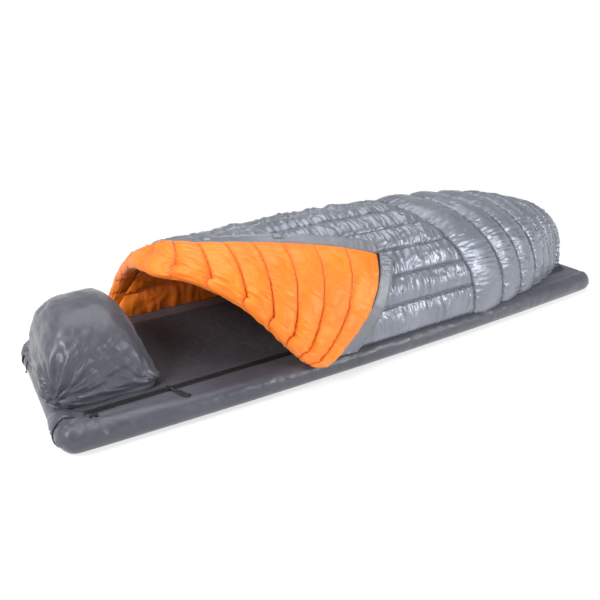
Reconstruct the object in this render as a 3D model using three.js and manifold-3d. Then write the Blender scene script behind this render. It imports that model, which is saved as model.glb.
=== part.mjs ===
// A down camp quilt laid out on its air mattress, with one head corner folded back over itself.
// Millimetres, +Z up. +X runs from the head end to the foot end, +Y to the side away from the fold.
// The origin is on the floor under the centre of the mattress.

import * as THREE from 'three';
import { mergeVertices } from 'three/addons/utils/BufferGeometryUtils.js';
import Module from 'manifold-3d';

const wasm = await Module();
wasm.setup();

// Clearances between neighbouring pieces
const GAP = 0.4;
const FACET_GAP = 2; // between pieces whose facets don't line up
const SEAM_GAP = 0.0006; // the same clearance, as a share of the way round the quilt

// Mattress
const MAT_LENGTH = 1950;
const MAT_HALF_WIDTH = 309;
const MAT_BOW = 22; // how much the half width shrinks towards each end
const MAT_THICKNESS = 68;
const MAT_CORNER = 50;
const MAT_EDGE = MAT_THICKNESS / 2;
const SHEET_HALF_WIDTH = 204;
const SHEET_HALF_LENGTH = 925;
const SHEET_THICKNESS = 1.6;
const SHEET_TOP = MAT_THICKNESS + GAP + SHEET_THICKNESS;

// Mattress zip
const ZIP_Y = -215;
const ZIP_START = -900;
const ZIP_END = 640;
const TAPE_WIDTH = 19;
const TAPE_THICKNESS = 1.2;
const CHAIN_WIDTH = 6;
const CHAIN_THICKNESS = 1.8;
const SLIDER_X = -690;
const SLIDER_LENGTH = 14;
const PULL_TURN = -Math.PI / 3; // which way the pull points, about +Z from +X

// Quilt body: an arch over the sleeper
const QUILT_BASE = SHEET_TOP + 0.5;
const ARCH_POWER = 2.2;
const ARCH_HALF_WIDTH = 305;
const ARCH_HEIGHT = 315;
const TAPER_START = 200;
const TAPER_LENGTH = 730;
const CHEST_CHAMBERS = 11;
const LOFT = 42;
const SEAM_THICKNESS = 6;
const FOOT_LOFT = 48;
const HEAD_SAG = 55; // how far the crown droops at the head end

// Foot baffle seams: where each crosses the crown, and how far footward it has swung at the hems
const FOOT_SEAMS = [190, 345, 465, 580, 674, 754, 826, 892];
const FOOT_SLANTS = [130, 118, 105, 90, 72, 52, 27, 0];
const FOOT_END_DEPTH = 52;

// The fold: a leaning plane that crosses the arch from the near hem to the far shoulder
const FOLD_FOOT = new THREE.Vector3(-302, -337, 70);
const FOLD_LEAN_Y = -0.24;
const FOLD_LEAN_Z = -0.97;
const FOLD_SHIFT = 26; // the fold stands this far footward of its plane
const FOLD_BOW = 34; // and this much more part of the way up the near side
const FOLD_BOW_END = 0.45;
const FOLD_LAST_CHAMBER = 7;
const FOLD_END = 0.6; // how far round the arch the fold runs
const FOLD_RADIUS = 40;
const HEAD_HEM_X = -700;

// The folded-back corner
const FLAP_CHAMBERS = 9;
const FLAP_LOFT = 24;
const FLAP_SEAM_THICKNESS = 14;
const FLAP_LIFT = 1.5;
const BAND_WIDTH = 44;
const BAND_THICKNESS = 5;
const HEM_ZIP_WIDTH = 2.4;
const HEM_CLEARANCE = 3.2;
const HEM_BULGE = 40; // how far the side hem bows footward
const HEM_ZIP_THICKNESS = 7;
const WAY_ROUND = 970; // length of the arch from hem to hem

// Pillow
const PILLOW_CENTRE_X = -836;
const PILLOW_HALF_LENGTH = 134;
const PILLOW_HALF_WIDTH = 184;
const PILLOW_HEIGHT = 214;

// Cords and the tabs that they start from
const CORD_DIAMETER = 3;
const CORD_SIDES = 8;
const CORD_RADIUS_ON_EDGE = MAT_EDGE + CORD_DIAMETER / 2 + 1;
const CORD_LOWEST_ANGLE = -45; // how far round the head edge a held cord runs, from level
const KNOT_RADIUS = 3.6;
const TAB_X = -891;
const TAB_Y = 238;
const TAB_LENGTH = 18;
const TAB_WIDTH = 10;
const TAB_THICKNESS = 5.4;

// Cord lock: its middle, then its button and spring measured from its closed end
const LOCK = new THREE.Vector3(-933, 178, 76);
const LOCK_RADIUS = 6.5;
const LOCK_LENGTH = 18;
const LOCK_BORE = 4.7;
const LOCK_WALL = 2;
const BUTTON_RADIUS = 4.2;
const BUTTON_START = 8.2;
const BUTTON_END = 25.4;
const SPRING_RADIUS = 3.2;
const SPRING_WIRE = 0.35;
const SPRING_START = 2.8;
const SPRING_LENGTH = 4.6;
const SPRING_TURNS = 3;

// Mattress valve
const VALVE_X = 860;
const VALVE_Y = 225;
const VALVE_HOLE = 8.4;
const VALVE_DEPTH = 21;
const VALVE_BORE = 5;
const VALVE_STEM = 8;
const VALVE_RIM = 9;
const VALVE_FLANGE = 16;
const CAP_RADIUS = 11;
const CAP_PLUG = 4.4;
const STRAP_WIDTH = 6;

const part = new THREE.Group();

// Finishes: colour, roughness, metalness
const SHELL = [0x8f949e, 0.42, 0];
const LINING = [0xff8f1f, 0.45, 0];
const COVER = [0x5c5f69, 0.38, 0];
const SHEET = [0x423f44, 0.7, 0];
const BINDING = [0x7d7f88, 0.6, 0];
const BLACK_TRIM = [0x1a1b1e, 0.55, 0];
const METAL = [0x8a8c90, 0.3, 1];
const BLACK_PLASTIC = [0x17181a, 0.4, 0];
const SILICONE = [0x9a9b9d, 0.5, 0];

// Adds a named mesh with a material of its own.
function add(name, geometry, [color, roughness, metalness]) {
  const mesh = new THREE.Mesh(geometry, new THREE.MeshStandardMaterial({ color, roughness, metalness }));
  mesh.name = name;
  part.add(mesh);
  return mesh;
}

// Only positions, with shared corners merged.
function weld(geometry) {
  geometry.deleteAttribute('normal');
  geometry.deleteAttribute('uv');
  return mergeVertices(geometry, 1e-4);
}

// A box of a grid of cells whose corners are moved: place(u, v, w) gives the point for shares 0 to 1.
function mappedBox(nu, nv, nw, place) {
  const geometry = weld(new THREE.BoxGeometry(1, 1, 1, nu, nv, nw));
  const position = geometry.getAttribute('position');
  for (let i = 0; i < position.count; i += 1) {
    const point = place(position.getX(i) + 0.5, position.getY(i) + 0.5, position.getZ(i) + 0.5);
    position.setXYZ(i, point.x, point.y, point.z);
  }
  geometry.computeVertexNormals();
  return geometry;
}

function solid(geometry) {
  const welded = weld(geometry.clone());
  return new wasm.Manifold(new wasm.Mesh({
    numProp: 3,
    vertProperties: new Float32Array(welded.getAttribute('position').array),
    triVerts: new Uint32Array(welded.index.array),
  }));
}

function geometryOf(manifold) {
  const mesh = manifold.getMesh();
  const geometry = new THREE.BufferGeometry();
  geometry.setAttribute('position', new THREE.BufferAttribute(mesh.vertProperties, 3));
  geometry.setIndex(new THREE.BufferAttribute(mesh.triVerts, 1));
  geometry.computeVertexNormals();
  return geometry;
}

// A cylinder whose axis is +Z, from one height to another.
function post(radius, low, high, sides, x = 0, y = 0) {
  return new THREE.CylinderGeometry(radius, radius, high - low, sides)
    .rotateX(Math.PI / 2)
    .translate(x, y, (low + high) / 2);
}

// A box given by its lowest and highest corner.
function block(x0, x1, y0, y1, z0, z1) {
  return new THREE.BoxGeometry(x1 - x0, y1 - y0, z1 - z0)
    .translate((x0 + x1) / 2, (y0 + y1) / 2, (z0 + z1) / 2);
}

function matHalfWidth(x) {
  return MAT_HALF_WIDTH - MAT_BOW * (2 * x / MAT_LENGTH) ** 2;
}

// A plan outline with round corners and bowed long sides, inset all round.
function planOutline(halfLength, halfWidthAt, corner) {
  const end = halfLength - corner;
  const endWidth = halfWidthAt(end);
  const middle = 2 * halfWidthAt(0) - endWidth;
  const shape = new THREE.Shape();
  shape.moveTo(-end, -endWidth);
  shape.quadraticCurveTo(0, -middle, end, -endWidth);
  shape.quadraticCurveTo(halfLength, -endWidth, halfLength, -endWidth + corner);
  shape.lineTo(halfLength, endWidth - corner);
  shape.quadraticCurveTo(halfLength, endWidth, end, endWidth);
  shape.quadraticCurveTo(0, middle, -end, endWidth);
  shape.quadraticCurveTo(-halfLength, endWidth, -halfLength, endWidth - corner);
  shape.lineTo(-halfLength, -endWidth + corner);
  shape.quadraticCurveTo(-halfLength, -endWidth, -end, -endWidth);
  return shape;
}

// ---- Mattress, sheet and valve ----

function mattress() {
  const bevel = MAT_EDGE - 0.5;
  const corner = MAT_CORNER + 12 - bevel;
  const outline = planOutline(MAT_LENGTH / 2 - bevel, (x) => matHalfWidth(x) - bevel, corner);
  const body = new THREE.ExtrudeGeometry(outline, {
    depth: 1,
    bevelThickness: bevel,
    bevelSize: bevel,
    bevelSegments: 5,
    curveSegments: 8,
  }).translate(0, 0, bevel);
  const valveHole = post(VALVE_HOLE, MAT_THICKNESS - VALVE_DEPTH, MAT_THICKNESS + 5, 24, VALVE_X, VALVE_Y);
  return geometryOf(solid(body).subtract(solid(valveHole)));
}

function sheet() {
  const outline = planOutline(SHEET_HALF_LENGTH, () => SHEET_HALF_WIDTH, 40);
  const settings = { depth: SHEET_THICKNESS, bevelEnabled: false, curveSegments: 5 };
  return new THREE.ExtrudeGeometry(outline, settings).translate(0, 0, MAT_THICKNESS + GAP);
}

function lathe(profile, sides) {
  const points = profile.map(([radius, height]) => new THREE.Vector2(radius, height));
  return new THREE.LatheGeometry(points, sides).rotateX(Math.PI / 2);
}

function addMattress() {
  add('air_mattress', mattress(), COVER);
  add('mattress_sheet', sheet(), SHEET);

  const top = MAT_THICKNESS + GAP;
  const rimHeight = 4.6;
  const stemEnd = 1 - VALVE_DEPTH;
  const base = lathe(
    [
      [VALVE_BORE, stemEnd],
      [VALVE_STEM, stemEnd],
      [VALVE_STEM, 0],
      [VALVE_FLANGE, 0],
      [VALVE_FLANGE, 2],
      [VALVE_RIM, 2],
      [VALVE_RIM, rimHeight],
      [VALVE_BORE, rimHeight],
      [VALVE_BORE, stemEnd],
    ],
    24,
  );
  add('valve_base', base.translate(VALVE_X, VALVE_Y, top), SILICONE);
  const membrane = post(VALVE_BORE - GAP, top - 14, top - 13, 16, VALVE_X, VALVE_Y);
  add('valve_membrane', membrane, SILICONE);
  const capLow = rimHeight + GAP;
  const capTop = capLow + 3;
  const plugEnd = capLow - 2.2;
  const cap = lathe(
    [
      [0, plugEnd],
      [CAP_PLUG, plugEnd],
      [CAP_PLUG, capLow],
      [CAP_RADIUS, capLow],
      [CAP_RADIUS, capTop],
      [0, capTop],
    ],
    24,
  );
  add('valve_cap', cap.translate(VALVE_X, VALVE_Y, top), BLACK_PLASTIC);
  const strapX = VALVE_X + CAP_RADIUS + GAP;
  const strapHalf = STRAP_WIDTH / 2;
  const strapLow = top + capLow;
  const strap = block(strapX, strapX + 5.6, VALVE_Y - strapHalf, VALVE_Y + strapHalf, strapLow, strapLow + 2);
  add('valve_cap_strap', strap, BLACK_PLASTIC);
}

// ---- Mattress zip ----

function addZip() {
  // A strip along the zip, of a half width and between two heights.
  const strip = (start, end, half, low, high) => (
    block(start, end, ZIP_Y - half, ZIP_Y + half, low, high)
  );
  const tapeTop = MAT_THICKNESS + GAP + TAPE_THICKNESS;
  const tape = strip(ZIP_START, ZIP_END, TAPE_WIDTH / 2, MAT_THICKNESS + GAP, tapeTop);
  add('zip_tape', tape, BLACK_TRIM);
  const chainLow = tapeTop + GAP;
  const chainTop = chainLow + CHAIN_THICKNESS;
  const chainHalf = CHAIN_WIDTH / 2;
  const chain = strip(ZIP_START + 6, ZIP_END - 6, chainHalf, chainLow, chainTop);
  add('zip_chain', chain, BLACK_TRIM);

  // The slider straddles the chain; its bridge carries the pull.
  const x0 = SLIDER_X - SLIDER_LENGTH / 2;
  const x1 = SLIDER_X + SLIDER_LENGTH / 2;
  const plate = chainTop + GAP;
  const plateTop = plate + 1.8;
  const legInner = chainHalf + GAP;
  const legOuter = legInner + 1.8;
  const legMiddle = (legInner + legOuter) / 2;
  const leg = block(x0, x1, legInner - legMiddle, legOuter - legMiddle, tapeTop + GAP, plate + 0.9);
  const legs = [-1, 1].map((side) => solid(leg.clone().translate(0, ZIP_Y + side * legMiddle, 0)));
  const bridge = (length, halfWidthOf, low, high) => solid(
    new THREE.BoxGeometry(length, 2 * halfWidthOf, high - low)
      .rotateZ(PULL_TURN)
      .translate(SLIDER_X, ZIP_Y, (low + high) / 2),
  );
  const bridgeOuter = bridge(10, 1, plateTop - 0.8, plateTop + 4.4);
  const bridgeHole = bridge(7.2, 3, plateTop, plateTop + 3.1);
  const slider = solid(strip(x0, x1, legOuter, plate, plateTop))
    .add(legs[0])
    .add(legs[1])
    .add(bridgeOuter)
    .subtract(bridgeHole);
  add('zip_slider', geometryOf(slider), METAL);

  // The pull: an eye round the bridge, a tab, and a webbing puller lying across the mattress edge
  const pivotHeight = plateTop + 1.5;
  const eye = solid(block(-0.9, 8, -3.4, 3.4, -0.7, 0.7))
    .subtract(solid(block(0.9, 6.2, -1.7, 1.7, -3, 3)));
  const tab = solid(mappedBox(3, 1, 1, (u, v, w) => new THREE.Vector3(
    7.4 + 17 * u,
    (v - 0.5) * 6,
    -0.7 + 1.4 * w - 4.6 * THREE.MathUtils.smoothstep(u, 0, 1),
  )));
  const tabMesh = add('zip_pull_tab', geometryOf(eye.add(tab)), METAL);
  const webbing = mappedBox(4, 1, 1, (u, v, w) => new THREE.Vector3(
    24.8 + 44 * u,
    (v - 0.5) * 10,
    -6.4 + 2.2 * w,
  ));
  const webbingMesh = add('zip_pull_webbing', webbing, BLACK_TRIM);
  for (const mesh of [tabMesh, webbingMesh]) {
    mesh.rotation.z = PULL_TURN;
    mesh.position.set(SLIDER_X, ZIP_Y, pivotHeight);
  }
}

// ---- Corner cords ----

// A round cord through a list of points.
function cord(points, steps) {
  const section = new THREE.Shape();
  for (let i = 0; i < CORD_SIDES; i += 1) {
    const angle = (2 * Math.PI * i) / CORD_SIDES;
    const x = Math.cos(angle) * CORD_DIAMETER / 2;
    const y = Math.sin(angle) * CORD_DIAMETER / 2;
    if (i === 0) section.moveTo(x, y);
    else section.lineTo(x, y);
  }
  const path = new THREE.CatmullRomCurve3(points);
  return new THREE.ExtrudeGeometry(section, { steps, extrudePath: path, bevelEnabled: false });
}

// Points over the half-round head edge of the mattress, from the top face down, between two widths.
function overHeadEdge(fromY, toY, lowestAngle) {
  const points = [];
  const radius = CORD_RADIUS_ON_EDGE;
  for (let angle = 90; angle >= lowestAngle; angle -= 22.5) {
    const share = (90 - angle) / (90 - lowestAngle);
    const radians = THREE.MathUtils.degToRad(angle);
    points.push(new THREE.Vector3(
      -MAT_LENGTH / 2 + MAT_EDGE - radius * Math.cos(radians),
      THREE.MathUtils.lerp(fromY, toY, share),
      MAT_EDGE + radius * Math.sin(radians),
    ));
  }
  return points;
}

function addCorners() {
  const onTop = MAT_THICKNESS + CORD_DIAMETER / 2 + 1;
  const start = TAB_X - 2;
  const near = [new THREE.Vector3(start, -TAB_Y, onTop), new THREE.Vector3(-912, -231, onTop)]
    .concat(overHeadEdge(-212, -228, CORD_LOWEST_ANGLE));
  add('corner_cord_near', cord(near, 26), BLACK_TRIM);

  const farTop = [
    new THREE.Vector3(start, TAB_Y, onTop),
    new THREE.Vector3(-906, 226, onTop),
    new THREE.Vector3(-916, 206, LOCK.z - 2),
    new THREE.Vector3(LOCK.x + LOCK_RADIUS + 2, LOCK.y, LOCK.z),
  ];
  add('corner_cord_far_top', cord(farTop, 14), BLACK_TRIM);
  const farEnd = [new THREE.Vector3(LOCK.x - LOCK_RADIUS - 2, LOCK.y, LOCK.z - 1)]
    .concat(overHeadEdge(184, 214, CORD_LOWEST_ANGLE).slice(1));
  add('corner_cord_far_end', cord(farEnd, 20), BLACK_TRIM);

  // The free tail hangs over the head edge from the lock to a knot.
  const tail = [new THREE.Vector3(LOCK.x - LOCK_RADIUS - 2, LOCK.y - 8, LOCK.z - 2)]
    .concat(overHeadEdge(164, 138, 0).slice(1));
  add('cord_tail', cord(tail, 14), BLACK_TRIM);
  const tailEnd = tail[tail.length - 1];
  const knot = new THREE.SphereGeometry(KNOT_RADIUS, 10, 8);
  knot.translate(tailEnd.x - KNOT_RADIUS + 1.6, tailEnd.y, tailEnd.z - KNOT_RADIUS - GAP);
  add('cord_knot', knot, BLACK_TRIM);

  // Anchor tabs sewn to the mattress top hold the other ends.
  for (const [name, side] of [['corner_tab_near', -1], ['corner_tab_far', 1]]) {
    const inner = side * TAB_Y - TAB_WIDTH / 2;
    const low = MAT_THICKNESS + GAP;
    const tab = block(TAB_X, TAB_X + TAB_LENGTH, inner, inner + TAB_WIDTH, low, low + TAB_THICKNESS);
    add(name, tab, BLACK_TRIM);
  }

  // Cord lock: a barrel with a blind bore along +Y, a spring and a button.
  const barrel = lathe(
    [
      [0, 0],
      [LOCK_RADIUS, 0],
      [LOCK_RADIUS, LOCK_LENGTH],
      [LOCK_BORE, LOCK_LENGTH],
      [LOCK_BORE, LOCK_WALL],
      [0, LOCK_WALL],
    ],
    20,
  );
  const button = lathe(
    [
      [0, BUTTON_START],
      [BUTTON_RADIUS, BUTTON_START],
      [BUTTON_RADIUS, BUTTON_END - 1],
      [BUTTON_RADIUS - 0.8, BUTTON_END],
      [0, BUTTON_END],
    ],
    16,
  );
  const coil = [];
  const last = SPRING_TURNS * 10;
  for (let i = 0; i <= last; i += 1) {
    const angle = (2 * Math.PI * i) / 10;
    const x = SPRING_RADIUS * Math.cos(angle);
    const y = SPRING_RADIUS * Math.sin(angle);
    coil.push(new THREE.Vector3(x, y, SPRING_START + (SPRING_LENGTH * i) / last));
  }
  const wire = new THREE.Shape();
  wire.absarc(0, 0, SPRING_WIRE, 0, 2 * Math.PI);
  const spring = new THREE.ExtrudeGeometry(wire, {
    steps: 36,
    curveSegments: 3,
    extrudePath: new THREE.CatmullRomCurve3(coil),
    bevelEnabled: false,
  });
  const pieces = [
    ['cord_lock_body', barrel, BLACK_PLASTIC],
    ['cord_lock_button', button, BLACK_PLASTIC],
    ['cord_lock_spring', spring, METAL],
  ];
  for (const [name, geometry, finish] of pieces) {
    const mesh = add(name, geometry, finish);
    mesh.rotation.x = -Math.PI / 2;
    mesh.position.set(LOCK.x, LOCK.y - LOCK_LENGTH / 2, LOCK.z);
  }
}

// ---- Pillow ----

function addPillow() {
  const pillow = mappedBox(9, 11, 6, (u, v, w) => {
    const a = 2 * u - 1;
    const b = 2 * v - 1;
    const c = 2 * w - 1;
    const size = (Math.abs(a) ** 3 + Math.abs(b) ** 3 + Math.abs(c) ** 3) ** (1 / 3);
    const up = Math.max(c / size, 0);
    return new THREE.Vector3(
      PILLOW_CENTRE_X + PILLOW_HALF_LENGTH * a / size,
      PILLOW_HALF_WIDTH * b / size,
      QUILT_BASE + PILLOW_HEIGHT * up,
    );
  });
  add('pillow', pillow, COVER);
}

// ---- Quilt body ----

function halfWidth(x) {
  const taper = Math.max(0, (x - TAPER_START) / TAPER_LENGTH);
  return ARCH_HALF_WIDTH - 150 * taper ** 2.5;
}

function archHeight(x) {
  const taper = Math.max(0, (x - TAPER_START) / TAPER_LENGTH);
  const headward = Math.max(0, (-100 - x) / 600);
  const sag = HEAD_SAG * THREE.MathUtils.smoothstep(-x, 560, 740);
  return ARCH_HEIGHT - 110 * taper ** 2.5 - 30 * headward ** 1.5 - sag;
}

// A point on the arch: around is 0 at the near hem and 1 at the far hem, lift is outward of the shell.
function archPoint(x, around, lift) {
  const c = -Math.cos(Math.PI * around);
  const s = Math.sin(Math.PI * around);
  const across = Math.sign(c) * Math.abs(c) ** (2 / ARCH_POWER);
  const up = Math.abs(s) ** (2 / ARCH_POWER);
  const y = (halfWidth(x) + lift) * across;
  return new THREE.Vector3(x, y, QUILT_BASE + (archHeight(x) + lift) * up);
}

// Where the fold's plane meets the arch.
function foldX(around, lift) {
  const bow = FOLD_BOW * Math.sin(Math.PI * Math.min(around / FOLD_BOW_END, 1)) ** 2;
  const foot = FOLD_FOOT.x + FOLD_SHIFT + bow;
  let x = foot;
  for (let round = 0; round < 30; round += 1) {
    const point = archPoint(x, around, lift);
    const across = FOLD_LEAN_Y * (point.y - FOLD_FOOT.y);
    x = THREE.MathUtils.lerp(x, foot + across + FOLD_LEAN_Z * (point.z - FOLD_FOOT.z), 0.7);
  }
  return x;
}

function seamX(index, around) {
  return FOOT_SEAMS[index] + FOOT_SLANTS[index] * Math.abs(Math.cos(Math.PI * around)) ** 1.5;
}

// A padded profile across a chamber: 0 at its seams, 1 along its middle.
function puff(share) {
  return Math.sqrt(Math.max(0, Math.sin(Math.PI * share)));
}

function headEnd(around, lift) {
  const shoulder = FOLD_LAST_CHAMBER / CHEST_CHAMBERS;
  const folded = foldX(Math.min(around, shoulder), lift) + GAP;
  const share = Math.max(0, (around - shoulder) / (1 - shoulder));
  return THREE.MathUtils.lerp(folded, HEAD_HEM_X, share);
}

function addQuiltBody() {
  for (let i = 0; i < CHEST_CHAMBERS; i += 1) {
    const from = i / CHEST_CHAMBERS + SEAM_GAP;
    const to = (i + 1) / CHEST_CHAMBERS - SEAM_GAP;
    const chamber = mappedBox(6, 4, 1, (u, v, w) => {
      const around = THREE.MathUtils.lerp(from, to, v);
      const full = puff(v) * Math.sqrt(1 - u ** 8);
      const thickness = SEAM_THICKNESS + (LOFT - SEAM_THICKNESS) * full;
      const lift = -LOFT / 2 + (w - 0.5) * thickness;
      const x = THREE.MathUtils.lerp(headEnd(around, lift), seamX(0, around) - FACET_GAP, u);
      return archPoint(x, around, lift);
    });
    add(`chest_chamber_${i + 1}`, chamber, SHELL);
  }

  for (let i = 0; i < FOOT_SEAMS.length - 1; i += 1) {
    const baffle = mappedBox(4, 18, 1, (u, v, w) => {
      const thickness = SEAM_THICKNESS + (FOOT_LOFT - SEAM_THICKNESS) * puff(u);
      const lift = -LOFT / 2 + (w - 0.5) * thickness;
      const x = THREE.MathUtils.lerp(seamX(i, v) + GAP, seamX(i + 1, v) - GAP, u);
      return archPoint(x, v, lift);
    });
    add(`foot_baffle_${i + 1}`, baffle, SHELL);
  }

  const last = FOOT_SEAMS.length - 1;
  const footEnd = mappedBox(1, 12, 6, (u, v, w) => {
    const across = (2 * v - 1) * 0.985;
    const rise = (1 - Math.abs(across) ** ARCH_POWER) ** (1 / ARCH_POWER);
    const start = FOOT_SEAMS[last] + GAP;
    const round = Math.sqrt(1 - (across * 0.98) ** 2) * Math.sqrt(1 - (w * 0.98) ** 4);
    const depth = 8 + FOOT_END_DEPTH * round;
    return new THREE.Vector3(
      start + depth * u,
      halfWidth(start) * across,
      QUILT_BASE + archHeight(start) * rise * w,
    );
  });
  add('foot_end', footEnd, SHELL);
}

// ---- Folded-back corner ----

// The free head hem, from the corner to the far shoulder, in x and share of the way round
const freeHem = new THREE.CubicBezierCurve(
  new THREE.Vector2(-35, 0.264),
  new THREE.Vector2(-300, 0.4),
  new THREE.Vector2(-590, 0.47),
  new THREE.Vector2(-612, FOLD_END),
);

// A point of the flap: u runs from the fold to the free hem, t from the side hem to the far shoulder.
function flapPlace(u, t, lift) {
  const foldAround = FOLD_END * t ** 1.65;
  const foldAt = foldX(foldAround, lift) + GAP;
  const hem = freeHem.getPoint(t);
  const bend = 1 + 0.35 * (1 - t) ** 2;
  const bulge = HEM_BULGE * Math.sin(Math.PI * u) * (1 - t) ** 3;
  return {
    x: THREE.MathUtils.lerp(foldAt, hem.x, u) + bulge,
    around: THREE.MathUtils.lerp(foldAround, hem.y, u ** bend),
  };
}

function addFlap() {
  const roll = mappedBox(6, 16, 1, (u, v, w) => {
    const radius = FOLD_RADIUS * (1 - 0.6 * v ** 6);
    const angle = THREE.MathUtils.degToRad(THREE.MathUtils.lerp(-80, 80, u));
    const around = FOLD_END * v;
    const lift = radius * Math.sin(angle);
    const x = foldX(around, lift) - GAP - w * radius * Math.cos(angle);
    return archPoint(x, around, lift);
  });
  add('fold_roll', roll, LINING);

  for (let i = 0; i < FLAP_CHAMBERS; i += 1) {
    const from = i / FLAP_CHAMBERS + SEAM_GAP;
    const to = (i + 1) / FLAP_CHAMBERS - SEAM_GAP;
    const chamber = mappedBox(6, 4, 1, (u, v, w) => {
      const t = THREE.MathUtils.lerp(from, to, v);
      const thickness = FLAP_SEAM_THICKNESS + FLAP_LOFT * puff(v) * Math.sqrt(1 - u ** 6)
        - (FLAP_SEAM_THICKNESS - 5) * u ** 6;
      const lift = FLAP_LIFT + w * thickness;
      const { x, around } = flapPlace(u, t, lift);
      return archPoint(x, around, lift);
    });
    add(`flap_chamber_${i + 1}`, chamber, LINING);
  }

  // Flat hem bands lie on the shell beyond the two free hems, square to each hem.
  const beyond = (base, tangent, side, distance) => {
    const run = new THREE.Vector2(tangent.x, tangent.y * WAY_ROUND).normalize();
    return {
      x: base.x - side * run.y * distance,
      around: base.around + side * run.x * distance / WAY_ROUND,
    };
  };
  const headBand = mappedBox(12, 1, 1, (u, v, w) => {
    const t = 0.9 * (1 - u);
    const hem = freeHem.getPoint(t);
    const tangent = freeHem.getTangent(t);
    const at = beyond({ x: hem.x, around: hem.y }, tangent, -1, GAP + BAND_WIDTH * v);
    return archPoint(at.x, at.around, FLAP_LIFT + BAND_THICKNESS * w);
  });
  add('head_hem_band', headBand, BINDING);

  // A point beside the side hem: share runs from the near hem up to the corner.
  const sideHem = (share, distance, lift) => {
    const base = flapPlace(share, 0, 0);
    const ahead = flapPlace(share + 0.01, 0, 0);
    const tangent = new THREE.Vector2(ahead.x - base.x, ahead.around - base.around);
    const at = beyond(base, tangent, -1, distance);
    return archPoint(at.x, Math.max(0, at.around), lift);
  };
  const sideBand = mappedBox(10, 1, 1, (u, v, w) => {
    const share = 0.06 + 0.94 * u;
    const distance = 2 * HEM_CLEARANCE + HEM_ZIP_WIDTH + BAND_WIDTH * (1 - v);
    return sideHem(share, distance, FLAP_LIFT + BAND_THICKNESS * w);
  });
  add('side_hem_band', sideBand, BINDING);

  const hemZip = mappedBox(12, 1, 1, (u, v, w) => (
    sideHem(0.04 + 0.96 * u, HEM_CLEARANCE + HEM_ZIP_WIDTH * (1 - v), FLAP_LIFT + HEM_ZIP_THICKNESS * w)
  ));
  add('side_hem_zip', hemZip, BLACK_TRIM);
}

addMattress();
addZip();
addCorners();
addPillow();
addQuiltBody();
addFlap();

export default part;
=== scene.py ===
"""Camp quilt on its mattress: soft pieces, finishes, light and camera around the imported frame.

+Z is up, +X runs to the foot end and -Y is the side of the folded corner. Shapes are worked out in
millimetres, as in the frame's own drawing, and turned into metres when a mesh is made.
"""

import math

import bpy
import numpy as np
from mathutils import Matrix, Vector


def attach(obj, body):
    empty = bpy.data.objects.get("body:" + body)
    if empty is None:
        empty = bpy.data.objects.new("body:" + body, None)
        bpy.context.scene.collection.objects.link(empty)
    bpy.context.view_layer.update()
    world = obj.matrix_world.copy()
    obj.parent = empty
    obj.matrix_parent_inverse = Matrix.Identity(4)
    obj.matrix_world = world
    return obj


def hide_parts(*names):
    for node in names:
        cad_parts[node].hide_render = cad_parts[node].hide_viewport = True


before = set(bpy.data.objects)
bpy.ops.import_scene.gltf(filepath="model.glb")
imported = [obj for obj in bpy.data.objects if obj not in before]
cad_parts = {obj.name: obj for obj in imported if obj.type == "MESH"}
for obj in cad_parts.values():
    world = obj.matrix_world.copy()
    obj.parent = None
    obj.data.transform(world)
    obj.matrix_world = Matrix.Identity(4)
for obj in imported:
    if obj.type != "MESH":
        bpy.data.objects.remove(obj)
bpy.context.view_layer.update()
MM = 0.001

# Mattress, sheet and zip
MAT_HALF_LENGTH = 975
MAT_HALF_WIDTH = 309
MAT_BOW = 22  # the ends are narrower by this on each side
MAT_EDGE = 34  # radius of the round edge, half the thickness
MAT_CORNER = 50
MAT_TOP = 68
SHEET_HALF_WIDTH = 204
SHEET_HALF_LENGTH = 925
SHEET_CORNER = 40
SHEET_UNDER = 68.5
SHEET_OVER = 69.4  # before the waves
ZIP_Y = -215
ZIP_START = -900
ZIP_END = 640
ZIP_TOP = 70.9
SLIDER_X = -690
PULL_TURN = -math.pi / 3
PULL_HEIGHT = 75.5
STRAP_START = 24.8  # from the pull's pivot
STRAP_END = 68.8

# Quilt: "around" runs from 0 at the near hem to 1 at the far hem; "lift" is off the arch
QUILT_BASE = 70.5
ARCH_POWER = 2.2
ARCH_HALF_WIDTH = 305
ARCH_HEIGHT = 315
FOOT_START = 200  # where the arch starts to narrow and drop
FOOT_LENGTH = 730
WAY_ROUND = 970
CHAMBERS = 11
SEAMS = [190, 345, 465, 580, 674, 754, 826, 892]
SLANTS = [130, 118, 105, 90, 72, 52, 27, 0]
MIDDLE_LIFT = -21  # between shell and lining
HEAD_HEM_X = -700
HEM_DROP = 16
SHOULDER_DROP = 32

# Folded-back corner
FLAP_CHAMBERS = 9
FLAP_WIDTH = 700
FLAP_REACH = 330  # from the fold to the free hem
FOLD_END = 0.6  # how far round the deep fold runs
FOLD_FOOT_X = -276
FOLD_RADIUS = 40
SHOULDER_END = 7 / CHAMBERS
SHOULDER_POWER = 2.4

# Pillow
PILLOW_X = -836
PILLOW_HALF_LENGTH = 133
PILLOW_HALF_WIDTH = 184
PILLOW_HEIGHT = 200
PILLOW_SQUARE = 3.4  # power of its plan, between an ellipse and a rectangle

# Cords
CORD_RADIUS = 1.5
HELD_CORD_RADIUS = 3.4
KNOT_CORD_RADIUS = 1.25
LOCK_X = -933


# ---- Camera, light and floor ----


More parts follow.
